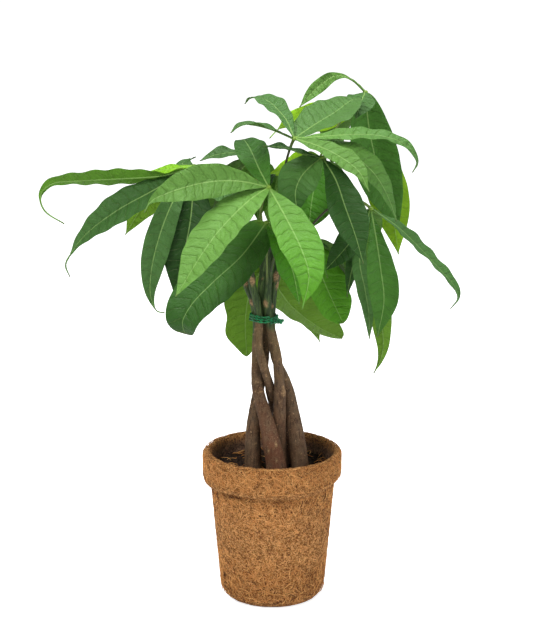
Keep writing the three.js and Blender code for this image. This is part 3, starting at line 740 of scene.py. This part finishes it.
strands = []
for _ in range(fibreShape["onSoil"]):
    angle, reach = rng.uniform(0, 2 * pi), 57 * sqrt(rng.uniform(0.1, 1))
    at = Vector((reach * cos(angle), reach * sin(angle), level + 0.6))
    heading, climb = rng.uniform(0, 2 * pi), rng.uniform(0.0, 0.75)
    step = rng.uniform(1.6, 4.0)
    points = []
    for k in range(6):
        points.append(at.copy())
        at += Vector((cos(heading), sin(heading), climb - k * 0.22)) * step
        if hypot(at.x, at.y) > 58:
            at.x, at.y = at.x * 0.97, at.y * 0.97
        at.z = max(at.z, level + 0.6)
        heading += rng.gauss(0, 0.35)
    strands.append((points, fibreShape["soilThick"] * rng.uniform(0.7, 1.4)))
fibreObject("loose_soil_fibres", strands, fibrePaint)


# twist tie: two coated strands wound round each other

tieShape = {"level": 286, "strand": 0.58, "apart": 0.6, "turnStep": 25, "steps": 44, "climb": 0.17}


def twistStrands(bm, line, lay, strandRadius):
    frames = lineFrames(line)
    for start in (0, pi):
        strand = []
        for i, point in enumerate(line):
            _, side, back = frames[i]
            turn = start + i * lay
            strand.append(point + (side * cos(turn) + back * sin(turn)) * tieShape["apart"])
        growTube(bm, strand, lambda share, turn, spot: strandRadius, 8)


bm = bmesh.new()
loop = []
for i in range(tieShape["steps"]):
    turn = radians(-60 + i * tieShape["turnStep"])
    swing = 1 + 0.05 * sin(i * 0.9)
    loop.append(Vector((-8.5 + 13.2 * swing * cos(turn), 0.4 + 13.4 * swing * sin(turn),
                        tieShape["level"] - 3 + i * tieShape["climb"] + 0.5 * sin(i * 1.3))))
twistStrands(bm, splineLine(loop, 380), 0.42, tieShape["strand"])
tail = []
for i in range(19):
    turn, swing = radians(68 * i), 1.5 * min(1, i / 3)
    height = tieShape["level"] - 0.5 + swing * sin(turn)
    tail.append(Vector((1 + i * 0.5, -10 - i * 0.16 + swing * cos(turn), height)))
twistStrands(bm, splineLine(tail, 90), 0.6, tieShape["strand"] * 1.5)
makePiece("wire_twist_tie", bm, [tiePaint], ["twist_tie"])


# leaves

# colour of a leaflet's face: mostly leaf greens, but "shade" is painted shade, "deep" is a darker green
# that also paints the shade inside the crown, "grey" and "soft" carry a painted greyish sheen, and "lime"
# and the bright yellow backlight tint are painted light shining through the leaf
bladeTints = {
    "bright": (0.13, 0.295, 0.05), "soft": (0.09, 0.22, 0.045), "grey": (0.07, 0.18, 0.042),
    "mid": (0.054, 0.178, 0.016), "fresh": (0.075, 0.25, 0.006), "deep": (0.022, 0.09, 0.008),
    "shade": (0.014, 0.062, 0.005), "olive": (0.13, 0.31, 0.011),
    "spring": (0.1, 0.33, 0.012), "lime": (0.2, 0.45, 0.008), "paintedBacklight": (0.33, 0.66, 0.004),
    "sap": (0.05, 0.2, 0.004),
}
stalkTints = {
    "green": (0.1, 0.16, 0.025), "dark": (0.045, 0.04, 0.026), "pale": (0.17, 0.3, 0.04),
    "root": (0.022, 0.036, 0.014),
}

# A leaflet follows a path of its own, or falls from its hub: heading, rise, droop (degrees), length.
# "face" is the way its upper side looks at the hub, "peak" and "full" shape its outline and "tail" is
# the share of its length that is a bare thin tip. "point" near 0 makes a blunt end, "ripple" an uneven
# edge. "lit" is the plain tint of the upper side, where the light falls; the leaflet's own tint then
# shows on its under side only, as painted light shining through the leaf.
def leaflet(tint, width, face=(0, 0, 1), **shape):
    usual = {"end": tint, "lit": None, "path": (), "peak": 1.12, "full": 0.9, "tail": 0, "point": 0.55}
    return usual | {"ripple": 0, "tint": tint, "width": width, "face": face} | shape


leaves = {}
leaves["leaf_front_centre"] = {
    "stem": "stem_front", "from": 324, "hub": (-4, -70, 428), "bow": 8,
    "stalk": "green", "slot": "leaf_light", "blades": [
        leaflet("mid", 31, (0.2, -1, 0.6), end="deep", peak=1.25, full=0.6, point=0.1, path=[
            (-13, -56, 443), (-20, -38, 456), (-26, -20, 463), (-29, -8, 463)]),
        leaflet("bright", 35, (0, -0.85, 0.6), tail=0.04, path=[
            (-32, -83, 436), (-62, -96, 437), (-96, -113, 430), (-110, -121, 424), (-116, -125, 415)]),
        leaflet("bright", 45, (-0.3, -0.7, 0.8), peak=0.95, full=0.75, path=[
            (-21, -90, 420), (-48, -120, 398), (-64, -137, 379), (-80, -152, 355), (-87, -158, 345)]),
        leaflet("bright", 41, (0.2, -0.8, 0.6), end="spring", full=0.75, tail=0.04, ripple=0.03, path=[
            (11, -98, 406), (26, -126, 380), (32, -141, 360), (26, -150, 331)]),
        leaflet("deep", 22, fall=(100, 30, 60, 46)),
    ],
}
leaves["leaf_front_low"] = {
    "stem": "stem_middle", "from": 312, "hub": (-6, -40, 389), "bow": -20,
    "stalk": "green", "slot": "leaf", "blades": [
        leaflet("mid", 54, (-0.3, -0.8, 0.5), end="deep", peak=1.0, full=0.36, point=0, path=[
            (-29, -58, 361), (-56, -76, 339), (-76, -88, 320), (-84, -92, 305), (-82, -86, 292)]),
        leaflet("sap", 38, fall=(305, -25, 55, 90)),
        leaflet("sap", 32, fall=(345, 0, 80, 84)),
    ],
}
leaves["leaf_left"] = {
    "stem": "stem_left", "from": 328, "hub": (-75, -10, 438), "bow": 10,
    "stalk": "green", "slot": "leaf", "blades": [
        leaflet("fresh", 26, (0, 0.7, 0.7), peak=1.25, tail=0.16, path=[
            (-105, -10, 429), (-145, -10, 426), (-185, -10, 424), (-211, -8, 421), (-223, -6, 410),
            (-220, -5, 394), (-201, -6, 381)]),
        leaflet("deep", 34, (-0.2, -0.75, 0.65), end="grey", tail=0.12, path=[
            (-112, -12, 416), (-149, -10, 395), (-180, -6, 371), (-195, -4, 352), (-201, -3, 339),
            (-197, -4, 328)]),
        # its under side is lime as painted light shining through; the upper side is plain mid green
        leaflet("lime", 32, (0.2, 0.8, 0.4), lit="mid", path=[
            (-104, 10, 416), (-128, 22, 391), (-145, 30, 363)]),
        leaflet("lime", 14, (0, -0.3, 1), path=[(-95, -14, 436), (-118, -12, 433)]),
        leaflet("grey", 18, (0, -0.6, 0.8), path=[(-87, 8, 437), (-75, 26, 441)]),
        leaflet("mid", 34, fall=(95, -15, 70, 80)),
        leaflet("grey", 36, (0.1, -0.8, 0.6), path=[(-55, -18, 426), (-36, -28, 412), (-22, -34, 398)]),
        leaflet("grey", 27, (0.2, -0.9, 0.3), tail=0.05, path=[
            (-96, -32, 405), (-109, -42, 371), (-116, -46, 339), (-116, -48, 318), (-110, -50, 305),
            (-103, -51, 304)]),
        leaflet("shade", 48, (0, -1, 0.3), path=[(-78, -28, 392), (-85, -38, 356), (-94, -44, 318)]),
    ],
}
leaves["leaf_top"] = {
    "stem": "stem_middle", "from": 350, "hub": (20, -35, 468), "bow": 0,
    "stalk": "dark", "slot": "leaf_light", "blades": [
        leaflet("grey", 24, (0.3, -0.8, 0.5), path=[
            (13, -20, 483), (6, -6, 490), (-2, 8, 496), (-12, 22, 499), (-22, 34, 497), (-27, 40, 491)]),
        leaflet("grey", 22, (0, -0.1, 1), path=[
            (0, -46, 478), (-18, -56, 484), (-30, -62, 485), (-39, -66, 478)]),
        leaflet("soft", 48, (-0.3, -0.6, 0.75), peak=0.95, full=0.75, path=[
            (40, -12, 478), (60, 10, 487), (76, 32, 495), (86, 48, 495)]),
        leaflet("bright", 20, (0, -0.45, 0.9), end="grey", path=[
            (50, -40, 471), (80, -42, 473), (104, -42, 471), (121, -42, 465), (132, -42, 455),
            (135, -42, 446), (131, -42, 437)]),
        leaflet("bright", 25, (0, -0.5, 0.85), path=[
            (42, -54, 464), (62, -68, 456), (79, -80, 444), (88, -88, 427)]),
        leaflet("bright", 28, (0.2, -0.6, 0.75), end="soft", path=[
            (50, -42, 463), (75, -48, 454), (95, -52, 437), (108, -54, 415), (116, -54, 393)]),
    ],
}
leaves["leaf_high_right"] = {
    "stem": "stem_right", "from": 340, "hub": (92, 75, 498), "bow": 0,
    "stalk": "green", "slot": "leaf", "blades": [
        leaflet("bright", 14, (-0.2, -0.6, 0.8), peak=1.9, path=[
            (78, 68, 511), (62, 58, 516), (46, 46, 508), (35, 36, 499), (26, 30, 489)]),
        leaflet("grey", 30, (0, -0.6, 0.8), path=[(86, 50, 490), (81, 30, 478)]),
        leaflet("mid", 48, (0.1, -1, 0.2), peak=0.97, full=0.55, path=[
            (96, 77, 463), (106, 78, 420), (117, 78, 388), (127, 78, 364)]),
        # these two under sides are painted light shining through; their upper sides are plain mid green
        leaflet("paintedBacklight", 44, (0.1, 1, 0.1), lit="mid", peak=1.45, path=[
            (97, 88, 462), (110, 94, 415), (122, 96, 372), (129, 96, 329)]),
        leaflet("paintedBacklight", 32, (0, 1, 0.2), lit="mid", tail=0.1, path=[
            (64, 72, 478), (38, 70, 472), (17, 66, 470), (7, 63, 464), (-3, 60, 454)]),
        leaflet("mid", 40, fall=(115, -10, 80, 120)),
    ],
}
leaves["leaf_right"] = {
    "stem": "stem_right", "from": 324, "hub": (95, 5, 394), "bow": 45,
    "stalk": "dark", "slot": "leaf", "blades": [
        leaflet("grey", 27, (0.2, -0.3, 0.9), path=[
            (121, 5, 376), (142, 4, 356), (164, 2, 333), (177, 1, 318), (181, 0, 306), (174, 0, 295)]),
        leaflet("mid", 31, (0.1, -1, 0.1), peak=1.35, path=[
            (99, -8, 372), (104, -20, 339), (107, -28, 310), (101, -32, 275)]),
        leaflet("olive", 24, (0, 1, 0), path=[
            (102, 16, 350), (107, 20, 290), (110, 21, 250), (107, 21, 236), (101, 20, 224)]),
        leaflet("grey", 16, (-0.3, -0.9, 0.3), full=0.6, path=[
            (86, -8, 368), (84, -14, 345), (89, -18, 320), (93, -20, 296), (94, -20, 270)]),
        leaflet("deep", 28, (-0.3, -0.8, 0.5), path=[(84, 0, 374), (68, -6, 354), (50, -10, 335)]),
        leaflet("deep", 15, (-0.2, -1, 0.3), path=[(84, -4, 362), (77, -10, 338), (72, -12, 310)]),
        leaflet("mid", 40, fall=(95, -10, 80, 115)),
    ],
}
leaves["leaf_upper_front"] = {
    "stem": "stem_middle", "from": 326, "hub": (46, -45, 452), "bow": -5,
    "stalk": "green", "slot": "leaf_dark", "blades": [
        leaflet("soft", 40, (-0.4, -0.8, 0.4), end="deep", peak=0.95, full=0.7, path=[
            (35, -50, 444), (26, -57, 435), (21, -62, 422), (23, -64, 403)]),
        leaflet("deep", 36, (0.2, -0.9, 0.5), path=[
            (58, -60, 434), (67, -76, 410), (76, -90, 386), (83, -98, 362)]),
        leaflet("shade", 16, (0, -0.3, 1), path=[(30, -52, 456), (12, -60, 463), (-9, -68, 466)]),
        # painted light shining through this leaflet, on both sides
        leaflet("paintedBacklight", 24, (0, -0.8, 0.6), path=[(30, -25, 447), (10, -5, 434), (-8, 8, 424)]),
    ],
}
leaves["leaf_inner"] = {
    "stem": "stem_right", "from": 302, "hub": (32, 20, 364), "bow": 0,
    "stalk": "green", "slot": "leaf_dark", "blades": [
        leaflet("fresh", 42, (0.3, -0.9, 0.3), end="spring", peak=1.3, full=0.45, point=0.2,
                ripple=0.05, path=[(42, 12, 341), (53, 4, 315), (69, -2, 281)]),
        leaflet("deep", 34, fall=(5, -25, 60, 80)),
        leaflet("mid", 42, fall=(60, -15, 75, 125)),
    ],
}
leaves["leaf_back_low"] = {
    "stem": "stem_back", "from": 312, "hub": (-5, 28, 336), "bow": -10,
    "stalk": "green", "slot": "leaf", "blades": [
        # these under sides are olive as painted light shining through; their upper sides are plain mid
        # green
        leaflet("olive", 43, (-0.2, 1, 0.2), lit="mid", peak=1.25, full=0.6, point=0.1,
                ripple=0.11, path=[(-20, 33, 312), (-27, 38, 278), (-26, 40, 236)]),
        leaflet("olive", 48, (0.4, 0.8, 0.3), lit="mid", full=0.42, point=0.05, ripple=0.07, path=[
            (6, 40, 307), (20, 52, 285), (44, 63, 263), (71, 73, 246)]),
        leaflet("olive", 34, (0.3, 0.9, 0.2), lit="mid", path=[
            (12, 50, 310), (32, 74, 280), (49, 95, 237)]),
        leaflet("mid", 44, fall=(95, -10, 80, 135)),
        leaflet("deep", 34, fall=(180, -10, 60, 76)),
    ],
}
leaves["leaf_back_left"] = {
    "stem": "stem_back", "from": 342, "hub": (-20, 45, 440), "bow": 0,
    "stalk": "green", "slot": "leaf_dark", "blades": [
        leaflet("grey", 20, (0, -0.35, 0.95), path=[(-39, 38, 443), (-55, 32, 442), (-71, 26, 437)]),
        leaflet("shade", 42, fall=(160, -45, 50, 110)),
        leaflet("mid", 46, fall=(115, -20, 50, 130)),
        leaflet("sap", 40, fall=(85, -15, 75, 105)),
    ],
}
leaves["leaf_back_right"] = {
    "stem": "stem_right", "from": 332, "hub": (50, 95, 426), "bow": 5,
    "stalk": "green", "slot": "leaf", "blades": [
        leaflet("mid", 32, fall=(78, -5, 88, 86)),
        leaflet("mid", 38, fall=(102, 8, 90, 116)),
        leaflet("fresh", 42, fall=(132, 0, 90, 124)),
        leaflet("deep", 36, fall=(168, -30, 60, 84)),
        leaflet("sap", 60, full=0.6, point=0.2, fall=(254, -25, 50, 80)),
    ],
}
leaves["leaf_back"] = {
    "stem": "stem_back", "from": 328, "hub": (-40, 85, 364), "bow": 0,
    "stalk": "green", "slot": "leaf", "blades": [
        leaflet("fresh", 42, fall=(65, -15, 70, 120)),
        leaflet("mid", 44, fall=(105, -10, 70, 135)),
        leaflet("mid", 38, fall=(172, -15, 70, 80)),
        leaflet("deep", 34, fall=(205, -35, 50, 70)),
        leaflet("mid", 34, fall=(20, -15, 70, 80)),
    ],
}
bladeShape = {
    "rows": 80, "ring": 44, "falls": 3, "fold": 12, "thick": 0.24, "quilt": 0.9, "veinGap": 10.5,
    "rib": 0.8,
}


def bladeLine(hub, blade, rows):
    points = [Vector(hub)] + [Vector(point) for point in blade["path"]]
    if "fall" in blade:
        heading, start, droop, length = blade["fall"]
        heading = radians(heading)
        for i in range(bladeShape["falls"]):
            tilt = radians(start - droop * (i + 0.5) / bladeShape["falls"])
            step = Vector((cos(heading), sin(heading), tan(tilt)))
            points.append(points[-1] + step.normalized() * length / bladeShape["falls"])
    return splineLine(points, rows)


def halfWidth(s, blade):
    u = min(s / (1 - blade["tail"]), 1)
    swell = max(0.0, sin(pi * u ** blade["peak"])) ** blade["full"]
    swell *= (1 - blade["point"] * u ** 8) * (1 + blade["ripple"] * sin(19 * s + blade["width"]))
    return max(blade["width"] / 2 * swell, 1.1 - 0.45 * s)


def bladeFrames(hub, blade, rows):
    # middle, edge and upper direction at each row, carried along without twist
    line = bladeLine(hub, blade, rows)
    top = Vector(blade["face"])
    frames = []
    for row, middle in enumerate(line):
        ahead = (line[min(row + 1, rows)] - line[max(row - 1, 0)]).normalized()
        top = (top - ahead * top.dot(ahead)).normalized()
        frames.append((middle, ahead.cross(top), top, halfWidth(row / rows, blade)))
    return frames


def growBlade(bm, layers, hub, blade, order):
    rows, ring = bladeShape["rows"], bladeShape["ring"]
    place, tintLayer, rimLayer = layers
    shade = 1 + 0.12 * sin(order * 2.3 + hub[0])
    near = Vector(bladeTints[blade["tint"]]) * shade
    far = Vector(bladeTints[blade["end"]]) * shade
    frames = bladeFrames(hub, blade, rows)
    length = sum((frames[i + 1][0] - frames[i][0]).length for i in range(rows))
    fold = radians(bladeShape["fold"])
    gap = bladeShape["veinGap"] * (length / 150) ** 0.4
    grid = bmesh.ops.create_grid(bm, x_segments=ring, y_segments=rows, size=1.0)["verts"]
    for face in {f for v in grid for f in v.link_faces}:
        face.material_index = 1 if face.calc_center_median().x > 0 else 0
    for vert in grid:
        turn = (vert.co.x + 1) * 2  # 0 to 2 over the face, 2 to 4 back under it
        row = round((vert.co.y + 1) / 2 * rows)
        s = row / rows
        middle, edge, top, half = frames[row]
        across = sin((turn - 1 if turn <= 2 else 3 - turn) * pi / 2)
        away = abs(across)
        thick = max(bladeShape["thick"], 0.6 * min(half, 2.4 - half)) * sqrt(max(1 - away ** 6, 0))
        thick *= 1 if turn <= 2 else -1
        if away > 0.9999:
            thick = 0
        wave = 1.3 * sin(11 * s + 2 * order + 1.5 * across) * sin(pi * s)
        ruffle = 1.0 * sin(s * length / 3.6 + order) * away ** 4 * sin(pi * s)
        reach = away * half
        phase = (s * length - 0.32 * reach - 0.011 * reach * reach) / gap + (0.5 if across > 0 else 0)
        phase += 0.3 * noise.noise(Vector((s * 7, order * 3.1, hub[0])))
        puffs = (abs(sin(pi * phase)) ** 0.6 - 0.6) * bladeShape["quilt"]
        puffs *= smoothRise(away, 0.04, 0.3) * (1 - smoothRise(away, 0.8, 1))
        puffs *= sin(pi * s) ** 0.5 if 0 < s < 1 else 0
        lift = (hypot(away, 0.07) - 0.07) * (half * sin(fold) + wave)
        lift += puffs + ruffle + thick
        vert.co = (middle + edge * (across * half * cos(fold)) + top * lift) * mm
        vert[place] = (across * half, s * length, phase)
        # with a "lit" tint the under side keeps the leaflet's own tint as painted light shining through,
        # the upper side takes the plain one
        lit = turn <= 2 and blade["lit"]
        vert[tintLayer] = (*(Vector(bladeTints[blade["lit"]]) if lit else near.lerp(far, s)), s)
        vert[rimLayer] = away
    bmesh.ops.remove_doubles(bm, verts=grid, dist=3e-7)
    closeEnds(bm, grid)

    def ribRadius(share, turn, spot):
        return bladeShape["rib"] * (1.35 - 1.05 * share ** 0.7)

    def markRib(vert, share, turn, spot):
        vert[place] = (0, share * length, 0.5)
        vert[tintLayer] = (*near.lerp(far, share), share)
        vert[rimLayer] = 0

    # the midrib stands out underneath
    line = [middle - top * 0.35 for middle, _, top, _ in frames[::2]]
    growTube(bm, line, ribRadius, 7, markRib, 1)


stalkRadii = [2.2, 1.4, 1.15, 1.1, 1.05, 1.05, 1.15, 1.6]


def growLeaf(name, leaf):
    bm = bmesh.new()
    layers = (bm.verts.layers.float_vector.new("bladePlace"), bm.verts.layers.float_color.new("bladeTint"),
              bm.verts.layers.float.new("bladeRim"))
    stem = splineLine(stems[leaf["stem"]]["path"], 200)
    root = min(stem, key=lambda point: abs(point.z - leaf["from"]))
    hub = Vector(leaf["hub"])
    out = Vector((hub.x - root.x, hub.y - root.y, 0))
    climb = hub.z - root.z
    first = root + out * 0.18 + Vector((0, 0, climb * 0.3 + 5))
    second = root + out * 0.62 + Vector((0, 0, climb * 0.86 + leaf["bow"]))
    line = bentLine(root, first, second, hub, 46)
    stalkTint = Vector(stalkTints[leaf["stalk"]])

    def markStalk(vert, share, turn, spot):
        tint = Vector(stalkTints["root"]).lerp(stalkTint, smoothRise(share, 0.02, 0.4))
        tint = tint.lerp(Vector(stalkTints["pale"]), smoothRise(share, 0.8, 1) * 0.6)
        vert[layers[1]] = (*tint, share)

    growTube(bm, line, lambda share, turn, spot: readList(stalkRadii, share), 12, markStalk, 2)
    place = Matrix.Translation(hub * mm) @ Matrix.Diagonal((1, 1, 0.75, 1))
    knuckle = bmesh.ops.create_uvsphere(bm, u_segments=20, v_segments=12, radius=2.6 * mm, matrix=place)
    for vert in knuckle["verts"]:
        vert[layers[1]] = (*stalkTints["pale"], 0.5)
        for face in vert.link_faces:
            face.material_index = 2
    for order, blade in enumerate(leaf["blades"]):
        growBlade(bm, layers, leaf["hub"], blade, order)
    makePiece("grown_" + name, bm, [leafFace, leafUnder, leafStalk], [name])


for name, leaf in leaves.items():
    growLeaf(name, leaf)
